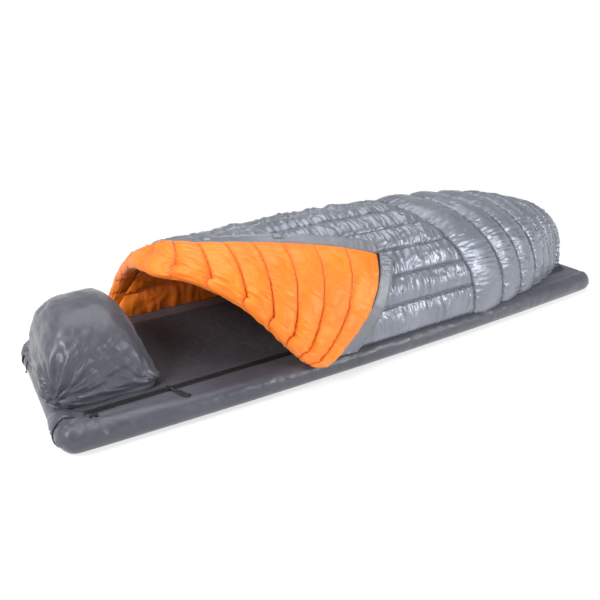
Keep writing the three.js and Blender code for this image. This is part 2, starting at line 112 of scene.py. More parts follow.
def add_camera():
    """Looks across the near head corner."""
    azimuth, elevation = math.radians(-31.5238), math.radians(24.0379)
    back = Vector((
        math.sin(azimuth) * math.cos(elevation),
        -math.cos(azimuth) * math.cos(elevation),
        math.sin(elevation),
    ))
    camera = bpy.data.objects.new("camera", bpy.data.cameras.new("camera"))
    camera.location = Vector((-0.0288, 0.2173, 0.0)) + back * 2.2232
    camera.rotation_euler = (-back).to_track_quat("-Z", "Y").to_euler()
    camera.data.lens = 36.2
    camera.data.sensor_width = 36.0
    bpy.context.collection.objects.link(camera)
    bpy.context.scene.camera = camera


def add_light(name, place, target, size, power):
    """A square softbox; places and sizes are in metres."""
    data = bpy.data.lights.new(name, "AREA")
    data.shape = "SQUARE"
    data.size = size
    data.energy = power
    light = bpy.data.objects.new(name, data)
    light.location = place
    light.rotation_euler = (Vector(target) - Vector(place)).to_track_quat("-Z", "Y").to_euler()
    bpy.context.collection.objects.link(light)


def add_lights():
    add_light("overhead", (0.0, 1.0, 4.2), (0.0, 0.6, 0.0), 4.6, 150)
    add_light("head_side", (-2.2, -0.5, 1.5), (-0.3, 0.0, 0.15), 0.8, 34)
    add_light("near_side", (1.3, -2.4, 1.2), (0.3, 0.0, 0.15), 0.9, 42)


def add_world():
    """White round the horizon and below it, dark above, and softly lit overhead."""
    world = bpy.data.worlds.new("studio")
    world.use_nodes = True
    tree = world.node_tree
    background = tree.nodes["Background"]
    place = tree.nodes.new("ShaderNodeTexCoord")
    split = tree.nodes.new("ShaderNodeSeparateXYZ")
    ramp = tree.nodes.new("ShaderNodeValToRGB")
    tree.links.new(place.outputs["Generated"], split.inputs["Vector"])
    tree.links.new(split.outputs["Z"], ramp.inputs["Fac"])
    tree.links.new(ramp.outputs["Color"], background.inputs["Color"])
    stops = ((0.0, 1.0), (0.15, 1.0), (0.27, 0.14), (0.6, 0.1), (0.9, 0.5))
    while len(ramp.color_ramp.elements) < len(stops):
        ramp.color_ramp.elements.new(0.5)
    for element, (position, value) in zip(ramp.color_ramp.elements, stops):
        element.position = position
        element.color = (value, value, value * 1.01, 1)
    bpy.context.scene.world = world
    bpy.context.scene.view_settings.view_transform = "Standard"


def add_floor():
    """Takes a faint shadow near the quilt, and glows white farther out."""
    size = 5.0
    mesh = bpy.data.meshes.new("floor")
    corners = [(-size, -size, 0), (size, -size, 0), (size, size, 0), (-size, size, 0)]
    mesh.from_pydata(corners, [], [(0, 1, 2, 3)])
    floor = bpy.data.objects.new("floor", mesh)
    bpy.context.collection.objects.link(floor)
    n = Nodes("floor")
    middle = n.tree.nodes.new("ShaderNodeVectorMath")
    middle.operation = "LENGTH"
    n.link(n.stretched(n.place.outputs["Object"], (0.75, 1.0, 1.0)), middle.inputs[0])
    far = n.spread(middle.outputs["Value"], 0.55, 1.15, 0.0, 1.0)
    n.link(n.mix(far, (0.45, 0.45, 0.45), (0.0, 0.0, 0.0)), n.shader.inputs["Base Color"])
    n.link(n.spread(far, 0.0, 1.0, 0.62, 1.0), n.shader.inputs["Emission Strength"])
    n.shader.inputs["Emission Color"].default_value = (1, 1, 1, 1)
    n.shader.inputs["Roughness"].default_value = 0.9
    n.shader.inputs["Specular IOR Level"].default_value = 0.0
    mesh.materials.append(n.material)


# ---- Finishes ----


class Nodes:
    """A material's node tree, with short calls for its nodes."""

    def __init__(self, name):
        self.material = bpy.data.materials.new(name)
        self.material.use_nodes = True
        self.tree = self.material.node_tree
        self.shader = self.tree.nodes["Principled BSDF"]
        self.place = self.tree.nodes.new("ShaderNodeTexCoord")

    def link(self, source, target):
        self.tree.links.new(source, target)

    def stretched(self, source, scale):
        node = self.tree.nodes.new("ShaderNodeMapping")
        node.inputs["Scale"].default_value = scale
        self.link(source, node.inputs["Vector"])
        return node.outputs["Vector"]

    def noise(self, vector, scale, detail=3.0, rough=0.5, distort=0.0):
        node = self.tree.nodes.new("ShaderNodeTexNoise")
        node.inputs["Scale"].default_value = scale
        node.inputs["Detail"].default_value = detail
        node.inputs["Roughness"].default_value = rough
        node.inputs["Distortion"].default_value = distort
        self.link(vector, node.inputs["Vector"])
        return node.outputs["Fac"]

    def wave(self, vector, scale, direction):
        node = self.tree.nodes.new("ShaderNodeTexWave")
        node.bands_direction = direction
        node.inputs["Scale"].default_value = scale
        self.link(vector, node.inputs["Vector"])
        return node.outputs["Fac"]

    def math(self, operation, a, b):
        node = self.tree.nodes.new("ShaderNodeMath")
        node.operation = operation
        for socket, value in zip(node.inputs, (a, b)):
            if isinstance(value, (int, float)):
                socket.default_value = value
            else:
                self.link(value, socket)
        return node.outputs[0]

    def spread(self, source, low, high, to_low, to_high):
        node = self.tree.nodes.new("ShaderNodeMapRange")
        values = {"From Min": low, "From Max": high, "To Min": to_low, "To Max": to_high}
        for key, value in values.items():
            node.inputs[key].default_value = value
        self.link(source, node.inputs["Value"])
        return node.outputs["Result"]

    def from_noise(self, noise, to_low=0.0, to_high=1.0):
        """Spreads the middle of a noise's range over new limits."""
        return self.spread(noise, 0.3, 0.7, to_low, to_high)

    def mix(self, share, first, second):
        node = self.tree.nodes.new("ShaderNodeMix")
        node.data_type = "RGBA"
        self.link(share, node.inputs["Factor"])
        for socket, value in ((node.inputs[6], first), (node.inputs[7], second)):
            if isinstance(value, tuple):
                socket.default_value = (*value, 1)
            else:
                self.link(value, socket)
        return node.outputs[2]

    def bump(self, height, strength, distance, below=None):
        node = self.tree.nodes.new("ShaderNodeBump")
        node.inputs["Strength"].default_value = strength
        node.inputs["Distance"].default_value = distance
        self.link(height, node.inputs["Height"])
        if below is not None:
            self.link(below, node.inputs["Normal"])
        return node.outputs["Normal"]


def nylon(name, light, dark, rough, metal, crinkle, thread, painted_seam_shade=0.5):
    """Downproof nylon, finely puckered beside its stitched seams, and darker there with painted shade.

    The uv map is metres along the nearest seam and metres from it.
    """
    n = Nodes(name)
    at = n.place.outputs["Object"]
    uv = n.place.outputs["UV"]
    tone = n.noise(at, 9.0, 4.0, 0.6)
    color = n.mix(n.from_noise(tone), dark, light)

    split = n.tree.nodes.new("ShaderNodeSeparateXYZ")
    n.link(uv, split.inputs["Vector"])
    from_seam = split.outputs["Y"]
    near_seam = n.spread(from_seam, 0.0, 0.018, 1.0, 0.0)
    dash = n.math("GREATER_THAN", n.wave(uv, 90.0, "X"), 0.35)
    line = n.math("LESS_THAN", from_seam, 0.0012)
    color = n.mix(n.math("MULTIPLY", dash, line), color, thread)
    # Painted shade: the colour darkens within about 10 mm of each seam, where the valleys between the puffs
    # lie in shade.
    shade = tuple(painted_seam_shade * value for value in dark)
    color = n.mix(n.spread(from_seam, 0.001, 0.010, 0.6, 0.0), color, shade)
    n.link(color, n.shader.inputs["Base Color"])

    wrinkles = n.noise(at, 55.0, 4.0, 0.55, 0.6)
    needles = n.noise(n.stretched(uv, (210.0, 26.0, 1.0)), 1.0, 2.0)
    weave = n.math("ADD", n.wave(at, 260.0, "X"), n.wave(at, 260.0, "Z"))
    low = n.bump(wrinkles, crinkle, 0.004)
    middle = n.bump(n.math("MULTIPLY", needles, near_seam), 0.7, 0.003, low)
    n.link(n.bump(weave, 0.12, 0.0004, middle), n.shader.inputs["Normal"])
    gloss = n.noise(at, 30.0, 3.0)
    n.link(n.from_noise(gloss, rough - 0.05, rough + 0.08), n.shader.inputs["Roughness"])
    n.shader.inputs["Metallic"].default_value = metal
    n.shader.inputs["Sheen Weight"].default_value = 0.08
    n.shader.inputs["Sheen Roughness"].default_value = 0.4
    n.shader.inputs["Specular IOR Level"].default_value = 0.65
    return n.material


def satin(name, light, dark, rough, crinkle):
    """Satin polyester with fine creases and a close weave."""
    n = Nodes(name)
    at = n.place.outputs["Object"]
    tone = n.noise(at, 6.0, 4.0, 0.6)
    n.link(n.mix(n.from_noise(tone), dark, light), n.shader.inputs["Base Color"])
    creases = n.noise(n.stretched(at, (1.0, 0.55, 1.0)), 38.0, 5.0, 0.55, 1.2)
    weave = n.math("ADD", n.wave(at, 300.0, "X"), n.wave(at, 300.0, "Y"))
    low = n.bump(creases, crinkle, 0.004)
    n.link(n.bump(weave, 0.1, 0.0004, low), n.shader.inputs["Normal"])
    gloss = n.noise(at, 24.0, 3.0)
    n.link(n.from_noise(gloss, rough - 0.05, rough + 0.1), n.shader.inputs["Roughness"])
    n.shader.inputs["Sheen Weight"].default_value = 0.25
    n.shader.inputs["Sheen Roughness"].default_value = 0.35
    return n.material


def woven(name, light, dark, rough, scale, depth, metal=0.0):
    """Tape, braid, brushed cloth and small fittings: a close pattern of a given scale."""
    n = Nodes(name)
    at = n.place.outputs["Object"]
    grain = n.noise(at, scale, 3.0)
    n.link(n.mix(n.from_noise(grain), dark, light), n.shader.inputs["Base Color"])
    rib = n.math("ADD", n.wave(at, scale * 0.7, "DIAGONAL"), grain)
    n.link(n.bump(rib, 0.5, depth), n.shader.inputs["Normal"])
    n.link(n.from_noise(grain, rough - 0.06, rough + 0.06), n.shader.inputs["Roughness"])
    n.shader.inputs["Metallic"].default_value = metal
    return n.material


THREAD_GREY = (0.09, 0.095, 0.11)
THREAD_ORANGE = (0.55, 0.09, 0.005)
SHELL = nylon("shell_fabric", (0.25, 0.27, 0.318), (0.195, 0.21, 0.25),
              rough=0.36, metal=0.45, crinkle=0.26, thread=THREAD_GREY)
LINING = nylon("lining_fabric", (1.0, 0.25, 0.004), (0.95, 0.19, 0.002),
               rough=0.5, metal=0.12, crinkle=0.24, thread=THREAD_ORANGE, painted_seam_shade=0.8)
COVER = satin("cover_fabric", (0.085, 0.09, 0.113), (0.062, 0.066, 0.084), 0.34, 0.16)
SHEET = woven("sheet_fabric", (0.050, 0.052, 0.063), (0.037, 0.039, 0.048), 0.75, 420.0, 0.0005)
BINDING = nylon("hem_binding", (0.31, 0.32, 0.36), (0.25, 0.26, 0.3),
                rough=0.4, metal=0.25, crinkle=0.25, thread=THREAD_GREY)
BLACK = woven("black_trim", (0.013, 0.013, 0.015), (0.006, 0.006, 0.007), 0.6, 900.0, 0.0004)
BRAID = woven("black_cord", (0.014, 0.014, 0.016), (0.005, 0.005, 0.006), 0.5, 1300.0, 0.0004)
PLASTIC = woven("black_plastic", (0.012, 0.012, 0.014), (0.009, 0.009, 0.01), 0.42, 1600.0, 0.0001)
METAL = woven("zip_metal", (0.2, 0.2, 0.21), (0.13, 0.13, 0.14), 0.32, 700.0, 0.0001, 1.0)
SILICONE = woven("silicone", (0.23, 0.23, 0.235), (0.2, 0.2, 0.205), 0.5, 300.0, 0.0002)


# ---- Shape helpers ----


def field(seed):
    """Smooth noise from -1 to 1 over a plane, the same every run."""
    values = np.random.RandomState(seed).uniform(-1, 1, (256, 256))

    def sample(x, y):
        x, y = np.broadcast_arrays(np.asarray(x, float), np.asarray(y, float))
        xi, yi = np.floor(x).astype(int), np.floor(y).astype(int)
        fx, fy = x - xi, y - yi
        sx, sy = fx**3 * (fx * (6 * fx - 15) + 10), fy**3 * (fy * (6 * fy - 15) + 10)
        a, b = values[xi & 255, yi & 255], values[(xi + 1) & 255, yi & 255]
        c, d = values[xi & 255, (yi + 1) & 255], values[(xi + 1) & 255, (yi + 1) & 255]
        return (a * (1 - sx) + b * sx) * (1 - sy) + (c * (1 - sx) + d * sx) * sy

    return sample


def billow(seed):
    """Soft hills between sharp valleys, from 0 to about 1: how stuffed cloth wrinkles."""
    first, second = field(seed), field(seed + 1)

    def sample(x, y):
        return np.abs(first(x, y)) * 1.3 + 0.5 * np.abs(second(2.1 * x + 5.3, 2.1 * y + 1.7))

    return sample


def smooth(low, high, value):
    t = np.clip((value - low) / (high - low), 0, 1)
    return t * t * (3 - 2 * t)


def hill(value, middle, reach):
    """1 at the middle, falling to almost nothing two reaches away."""
    return np.exp(-(((value - middle) / reach) ** 2))


def lerp(a, b, t):
    return a + (b - a) * t


def full_turn(count):
    return np.linspace(0, 2 * np.pi, count, endpoint=False)


def signed_power(value, power):
    return np.sign(value) * np.abs(value) ** power


def finish_piece(obj, body, material, replaces=()):
    """Gives a piece its finish and its body, and hides the frame nodes it stands for."""
    obj.data.materials.append(material)
    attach(obj, body)
    if replaces:
        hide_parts(*replaces)


def mesh_object(name, points, faces, uv=None):
    """A smooth mesh from points in millimetres; uv holds one pair for each point."""
    mesh = bpy.data.meshes.new(name)
    mesh.from_pydata((np.asarray(points) * MM).tolist(), [], faces)
    mesh.polygons.foreach_set("use_smooth", np.ones(len(mesh.polygons), bool))
    if uv is not None:
        corners = np.empty(len(mesh.loops), int)
        mesh.loops.foreach_get("vertex_index", corners)
        layer = mesh.uv_layers.new(name="seams")
        layer.data.foreach_set("uv", np.asarray(uv, float)[corners].ravel())
    mesh.update()
    obj = bpy.data.objects.new(name, mesh)
    bpy.context.collection.objects.link(obj)
    return obj


def grid_faces(rows, columns, wrap=False, flip=False):
    index = np.arange(rows * columns).reshape(rows, columns)
    if wrap:
        index = np.concatenate([index, index[:, :1]], axis=1)
    quads = [index[:-1, :-1], index[1:, :-1], index[1:, 1:], index[:-1, 1:]]
    if flip:
        quads.reverse()
    return np.stack(quads, -1).reshape(-1, 4).tolist()


def grid_object(name, points, uv, flip=False):
    rows, columns = points.shape[:2]
    faces = grid_faces(rows, columns, flip=flip)
    return mesh_object(name, points.reshape(-1, 3), faces, uv.reshape(-1, 2))


def closed_tube(name, rings):
    """A closed body from rings of points, with each end filled by one face."""
    rows, columns = rings.shape[:2]
    faces = grid_faces(rows, columns, wrap=True)
    faces.append(list(range(columns)))
    faces.append([(rows - 1) * columns + i for i in reversed(range(columns))])
    return mesh_object(name, rings.reshape(-1, 3), faces)


def resample(points, spacing):
    """A Catmull-Rom line through the points, with steps of about the spacing."""
    p = np.asarray(points, float)
    p = np.vstack([2 * p[0] - p[1], p, 2 * p[-1] - p[-2]])
    line = []
    for i in range(1, len(p) - 2):
        count = max(2, int(np.linalg.norm(p[i + 1] - p[i]) / spacing))
        for t in np.arange(count) / count:
            line.append(0.5 * (
                2 * p[i]
                + (p[i + 1] - p[i - 1]) * t
                + (2 * p[i - 1] - 5 * p[i] + 4 * p[i + 1] - p[i + 2]) * t**2
                + (3 * p[i] - p[i - 1] - 3 * p[i + 1] + p[i + 2]) * t**3
            ))
    line.append(p[-2])
    return np.array(line)


def walked_along(line):
    """How far each point is along its line."""
    steps = np.linalg.norm(np.diff(line, axis=0), axis=1)
    return np.concatenate([[0], np.cumsum(steps)])


def frames_along(line, up):
    """The side and the upward direction at each point of a line."""
    tangent = np.gradient(line, axis=0)
    tangent /= np.linalg.norm(tangent, axis=1)[:, None]
    side = np.cross(tangent, up)
    side /= np.maximum(np.linalg.norm(side, axis=1), 1e-6)[:, None]
    return side, np.cross(side, tangent)


def braided_tube(name, points, radius, pitch=9.0, spacing=0.9):
    """A closed tube whose surface twists like a braid of three strands."""
    strands = 3
    line = resample(points, spacing)
    side, rise = frames_along(line, (0, 1, 0.3))
    walked = walked_along(line)
    angles = full_turn(16)
    twist = 2 * np.pi * walked / pitch
    bulge = 0.86 + 0.14 * np.abs(np.cos(strands / 2 * (angles[None, :] + twist[:, None])))
    bulge *= np.abs(np.cos(strands / 2 * (angles[None, :] - twist[:, None]))) * 0.12 + 0.88
    ring = (
        side[:, None, :] * np.cos(angles)[None, :, None]
        + rise[:, None, :] * np.sin(angles)[None, :, None]
    )
    return closed_tube(name, line[:, None, :] + ring * (radius * bulge)[:, :, None])


# ---- The arch that the quilt follows ----


def narrowing(x):
    """0 along the chest, rising to about 1 at the closed end of the footbox."""
    return np.maximum(0, (x - FOOT_START) / FOOT_LENGTH) ** 2.5


def half_width(x):
    return ARCH_HALF_WIDTH - 150 * narrowing(x)


def arch_height(x):
    headward = np.maximum(0, (-100 - x) / 600)
    droop = 55 * smooth(560, 740, -x)
    return ARCH_HEIGHT - 110 * narrowing(x) - 30 * headward**1.5 - droop


def arch_point(x, around, lift):
    """The place at a share of the way round, lifted off the arch."""
    x, around, lift = np.broadcast_arrays(*(np.asarray(v, float) for v in (x, around, lift)))
    c, s = -np.cos(np.pi * around), np.sin(np.pi * around)
    y = (half_width(x) + lift) * signed_power(c, 2 / ARCH_POWER)
    z = QUILT_BASE + (arch_height(x) + lift) * np.abs(s) ** (2 / ARCH_POWER)
    z -= SHOULDER_DROP * smooth(540, 690, -x) * hill(around, 0.7, 0.13)
    return np.stack([x, y, z], -1)


def fold_x(around, lift):
    """x of the fold: where the arch meets a slanted plane that bows towards the foot end."""
    around, lift = np.broadcast_arrays(np.asarray(around, float), np.asarray(lift, float))
    foot = FOLD_FOOT_X + 34 * np.sin(np.pi * np.minimum(around / 0.45, 1)) ** 2
    x = foot
    for _ in range(30):
        point = arch_point(x, around, lift)
        x = lerp(x, foot - 0.24 * (point[..., 1] + 337) - 0.97 * (point[..., 2] - 70), 0.7)
    return x


def seam_x(index, around):
    """x of a seam across the quilt; the seams slant footward towards the hems."""
    return SEAMS[index] + SLANTS[index] * np.abs(np.cos(np.pi * around)) ** 1.5


def puff(share):
    """The rounded section of a stuffed chamber, from seam (0) to seam (1)."""
    return np.sqrt(np.maximum(0, np.sin(np.pi * share)))


def head_end(around, lift):
    """x where the chest chambers end: at the fold, then out to the far head corner."""
    share = np.clip((around - SHOULDER_END) / (1 - SHOULDER_END), 0, 1)
    return lerp(fold_x(np.minimum(around, SHOULDER_END), lift), HEAD_HEM_X, share**SHOULDER_POWER)


# ---- Quilt shell and lining ----


def chest_lift(x, u, around, side, seed):
    """Lift of the chest chambers' outer (side 1) or inner (side -1) face, and how far it is from a seam."""
    share = (around * CHAMBERS) % 1.0
    cell = np.minimum(np.floor(around * CHAMBERS), CHAMBERS - 1)
    half = cell * 2 + (share > 0.5)
    way = around * WAY_ROUND
    width = WAY_ROUND / CHAMBERS
    from_seam = np.minimum(share, 1 - share) * width
    to_foot = (1 - u) * (seam_x(0, around) - x[0])
    close_foot = np.sqrt(1 - np.clip(1 - to_foot / 55, 0, 1) ** 2)
    to_head = u * (seam_x(0, around) - x[0])
    open_end = smooth(0.6, 0.66, around)
    close_head = lerp(1, np.sqrt(1 - np.clip(1 - to_head / 50, 0, 1) ** 2), open_end)
    full = puff(share) * close_foot * close_head
    lift = (7 + 14 * full) * side

    loft = field(seed)(x / 150, cell * 3.7 + share)
    folds = billow(seed + 2)(x / 27 + cell * 5.1, way / 115)
    fine = billow(seed + 5)(x / 11 + cell * 3.3, way / 60)
    needles = billow(seed + 8)(x / 10.5 + half * 7.7, from_seam / 60)
    warp = 26 * field(seed + 20)(x / 60, way / 50)
    crush = billow(seed + 23)((x + warp) / 24, (way + warp) / 46)
    wrinkles = 3.0 * loft + 6.0 * (folds - 0.45) + 3.0 * (crush - 0.4) + 1.8 * (fine - 0.4)
    lift += side * full * wrinkles

    # Puckers at the seams and pleats at the foot end
    near = np.exp(-from_seam / 20)
    edge = np.minimum(1, from_seam / 5)
    lift += side * edge * near * 4.4 * (needles - 0.3) * close_foot
    near_foot = np.exp(-to_foot / 22)
    pleats = billow(seed + 11)(way / 9, to_foot / 70)
    lift += side * near_foot * 4.5 * (pleats - 0.35) * np.minimum(1, to_foot / 5)
    distance = np.minimum(from_seam, to_foot)
    return lift, distance


def chest_surface(side, rows, columns, seed):
    """One face of all the chest chambers, from the fold and the head hem to the foot baffles."""
    u = np.linspace(0, 1, rows)[:, None]
    around = np.linspace(0, 1, columns)[None, :]
    start = head_end(around, MIDDLE_LIFT + 18 * side)
    x = lerp(start + 0 * u, seam_x(0, around) + 0 * u, u)
    a = around + 0 * u
    lift, distance = chest_lift(x, u, a, side, seed)
    wobble = field(seed + 14)(x / 90, a * 9) * 0.0028 * np.sin(np.pi * a)
    points = arch_point(x, np.clip(a + wobble, 0, 1), MIDDLE_LIFT + lift)
    points[..., 2] -= HEM_DROP * smooth(0.93, 1.0, a)
    uv = np.stack([x * MM + 0 * a, distance * MM], -1)
    return points, uv


def foot_lift(x, index, share, around, side, seed):
    """Lift of a foot baffle's outer (side 1) or inner (side -1) face, and how far it is from a seam."""
    way = around * WAY_ROUND
    width = SEAMS[index + 1] - SEAMS[index]
    from_seam = np.minimum(share, 1 - share) * width
    half = 2 * index + (share > 0.5)
    hem = np.exp(-np.minimum(way, WAY_ROUND - way) / 45)
    corner = smooth(640, 800, x) * hill(around, 0.1, 0.11)
    full = puff(share) * (1 - 0.45 * np.clip(hem + corner, 0, 1))
    lift = side * (5 + 20 * full)

    # Wrinkles, and puckers that calm down towards the end
    gathered = smooth(600, 880, x) * hill(around, 0.16, 0.14)
    tight = 1 - 0.85 * smooth(700, 850, x)
    folds = billow(seed + index)(way / 34 + index * 4.6, x / 120)
    fine = billow(seed + 20)(way / 13 + index * 8.2, x / 60)
    needles = billow(seed + 30)(way / 10 + half * 6.1, from_seam / 60)
    loft = field(seed + 40 + index)(way / 120, share)
    lift += side * full * (2.5 * loft + 3.0 * (folds - 0.45) + 1.2 * (fine - 0.4))
    lift += side * full * gathered * 3 * (fine - 0.4)
    near = np.exp(-from_seam / (0.28 * width + 4))
    edge = np.minimum(1, from_seam / 5)
    lift += side * near * edge * (4.4 - 2.0 * corner) * (needles - 0.3) * tight
    return lift, from_seam


def foot_surface(side, columns, seed):
    """All the foot baffles as one surface, with a row exactly along each seam."""
    around = np.linspace(0, 1, columns)[None, :]
    row_step = 3.4
    rows, uvs = [], []
    for index in range(len(SEAMS) - 1):
        steps = int((SEAMS[index + 1] - SEAMS[index]) / row_step)
        share = (np.arange(steps + (index == len(SEAMS) - 2)) / steps)[:, None]
        wobble = 3.0 * field(seed + 50 + index)(around * 14, 0.5)
        x = lerp(seam_x(index, around), seam_x(index + 1, around), share)
        x = x + wobble * np.sin(np.pi * share)
        a = around + 0 * share
        lift, distance = foot_lift(x, index, share + 0 * a, a, side, seed)
        rows.append(arch_point(x, a, MIDDLE_LIFT + lift))
        uvs.append(np.stack([a * WAY_ROUND * MM, distance * MM], -1))
    return np.concatenate(rows), np.concatenate(uvs)


def mat_outline(x):
    """Half the width of the mattress, with its bowed sides and round corners."""
    bowed = MAT_HALF_WIDTH - MAT_BOW * (x / MAT_HALF_LENGTH) ** 2
    into = np.clip((np.abs(x) - (MAT_HALF_LENGTH - MAT_CORNER)) / MAT_CORNER, 0, 1)
    return bowed - MAT_CORNER * (1 - np.sqrt(1 - into**2 * 0.999))


def mat_surface(x, y):
    """Height of the mattress top, down over its round edge."""
    over = np.clip((np.abs(y) - mat_outline(x) + MAT_EDGE) / MAT_EDGE, 0, 0.999)
    return MAT_EDGE + MAT_EDGE * np.sqrt(1 - over**2)


def with_hems(points, uv, around_lift):
    """Adds the hem edges at both ends of the way round, where the layers meet."""
    sides = []
    for column, around in ((0, 0.0), (-1, 1.0)):
        edge = points[:, column].copy()
        edge[:, 2] = np.minimum(edge[:, 2], mat_surface(edge[:, 0], edge[:, 1]) + 3)
        hem = arch_point(edge[:, 0], around, around_lift)
        hem[:, 2] = mat_surface(hem[:, 0], hem[:, 1]) + 1.0
        sides.append((edge[:, None], hem[:, None]))
    points = np.concatenate([sides[0][1], sides[0][0], points, sides[1][0], sides[1][1]], axis=1)
    uv = np.concatenate([uv[:, :1], uv[:, :1], uv, uv[:, -1:], uv[:, -1:]], axis=1)
    return points, uv


def add_quilt():
    columns = 321
    points, uv = with_hems(*chest_surface(1, 250, columns, 10), MIDDLE_LIFT)
    chest = grid_object("quilt_chest_shell", points, uv)
    nodes = [f"chest_chamber_{i}" for i in range(1, CHAMBERS + 1)]
    finish_piece(chest, "quilt", SHELL, nodes)

    points, uv = with_hems(*foot_surface(1, columns, 110), MIDDLE_LIFT)
    foot = grid_object("quilt_foot_shell", points, uv)
    nodes = [f"foot_baffle_{i}" for i in range(1, len(SEAMS))]
    finish_piece(foot, "quilt", SHELL, nodes)

    points, uv = with_hems(*chest_surface(-1, 170, 221, 60), MIDDLE_LIFT)
    lining = grid_object("quilt_chest_lining", points, uv, flip=True)
    finish_piece(lining, "quilt", LINING)
    points, uv = with_hems(*foot_surface(-1, 221, 160), MIDDLE_LIFT)
    lining = grid_object("quilt_foot_lining", points, uv, flip=True)
    finish_piece(lining, "quilt", LINING)


def add_foot_end():
    """The closed end of the footbox: a dome that leaves the last seam and gathers towards it.

    p runs from 0 at the seam to 1 in the middle of the end.
    """
    columns, rows = 321, 60
    around = np.linspace(0, 1, columns)[None, :]
    p = (np.linspace(0, 1, rows) ** 1.25)[:, None]
    last = SEAMS[-1]
    shrink = np.cos(p * np.pi / 2) ** 0.75
    way = around * WAY_ROUND * 0.62
    swell = 19 * np.sin(np.minimum(p / 0.32, 1) * np.pi / 2)
    pleats = billow(301)(way / 9, p * 3) - 0.35
    folds = billow(305)(way / 30, p * 4) - 0.4
    corner = hill(around, 0.14, 0.13)
    fade = np.minimum(1, p / 0.03) * np.exp(-p / 0.3)
    relief = fade * (4.2 + 4 * corner) * pleats + 5 * folds * np.sin(np.pi * np.minimum(1, p * 1.2))
    rise = np.abs(np.sin(np.pi * around)) ** 0.5
    depth = 54 * np.sin(p * np.pi / 2) ** 0.85 * (0.75 + 0.25 * rise)
    uv = np.stack([way * MM + 0 * p, p * 0.12 + 0 * way], -1)
    base = np.array([0, 0, QUILT_BASE])

    def dome(lift, x):
        rim = arch_point(np.full(around.shape, float(last)) + 0 * p, around, lift)
        points = base + (rim - base) * shrink[..., None]
        points[..., 0] = x
        return points

    points = dome(MIDDLE_LIFT + 3 + swell + relief, last + depth + 0.25 * relief)
    end = grid_object("foot_end_shell", points, uv)
    finish_piece(end, "quilt", SHELL, ["foot_end"])

    points = dome(MIDDLE_LIFT - 5 - 0.6 * swell - 0.4 * relief, last + 0.55 * depth - 0.15 * relief)
    inside = grid_object("foot_end_lining", points, uv, flip=True)
    finish_piece(inside, "quilt", LINING)


# ---- Folded-back corner ----


def fold_way(t):
    """How far round the fold has run: the deep fold to t = 1, then the far shoulder."""
    return np.where(t <= 1, FOLD_END * np.minimum(t, 1) ** 1.65, FOLD_END + 0.9 * (t - 1))


def fold_line(around, lift):
    """x of the fold, on past the far shoulder to the far hem."""
    share = np.clip((around - FOLD_END) / (1 - FOLD_END), 0, 1)
    deep = fold_x(np.minimum(around, FOLD_END), lift * (1 - share))
    return lerp(deep, HEAD_HEM_X + 2.0, share**SHOULDER_POWER)


def free_hem(t):
    """x and way round of the free head hem: a cubic from the corner, then the far hem."""
    p = [(-35, 0.264), (-300, 0.4), (-590, 0.47), (-612, FOLD_END)]
    s = np.minimum(t, 1)
    weights = [(1 - s) ** 3, 3 * s * (1 - s) ** 2, 3 * s * s * (1 - s), s**3]
    x, around = (sum(w * q[k] for w, q in zip(weights, p)) for k in (0, 1))
    past = np.maximum(t - 1, 0)
    return x - 340 * past**2, around + 0.9 * past


def flap_place(u, t, lift):
    """x and way round on the flap; u runs from the fold to the free hem, t along the fold."""
    x, around = free_hem(t)
    s = np.minimum(t, 1)
    bend = 1 + 0.35 * (1 - s) ** 2
    bulge = 40 * np.sin(np.pi * np.clip(u, 0, 1)) * (1 - s) ** 3
    at_fold = fold_line(fold_way(t), lift) + 0.4
    return lerp(at_fold, x, u) + bulge, lerp(fold_way(t), around, u**bend)


def flap_relief(run, t, seed):
    """How far the flap's face stands from its plain shape; run is millimetres from the fold."""
    share = (t * FLAP_CHAMBERS) % 1.0
    cell = np.minimum(np.floor(t * FLAP_CHAMBERS), FLAP_CHAMBERS - 1)
    width = FLAP_WIDTH / FLAP_CHAMBERS
    from_seam = np.minimum(share, 1 - share) * width
    half = 2 * cell + (share > 0.5)
    loft = field(seed)(run / 130, cell * 2.9 + share)
    folds = billow(seed + 2)(run / 40 + cell * 6.2, share * 1.4 + cell * 2)
    needles = billow(seed + 5)(run / 10 + half * 5.7, from_seam / 60)
    at_fold = np.exp(-np.abs(run) / 55)
    relief = puff(share) * (2.4 * loft + 4.2 * (folds - 0.45) * (1 + 0.6 * at_fold))
    near = np.exp(-from_seam / 13) * np.minimum(1, from_seam / 4)
    relief = relief + near * (needles - 0.3) * (3.6 + 2.6 * at_fold)
    return relief, from_seam


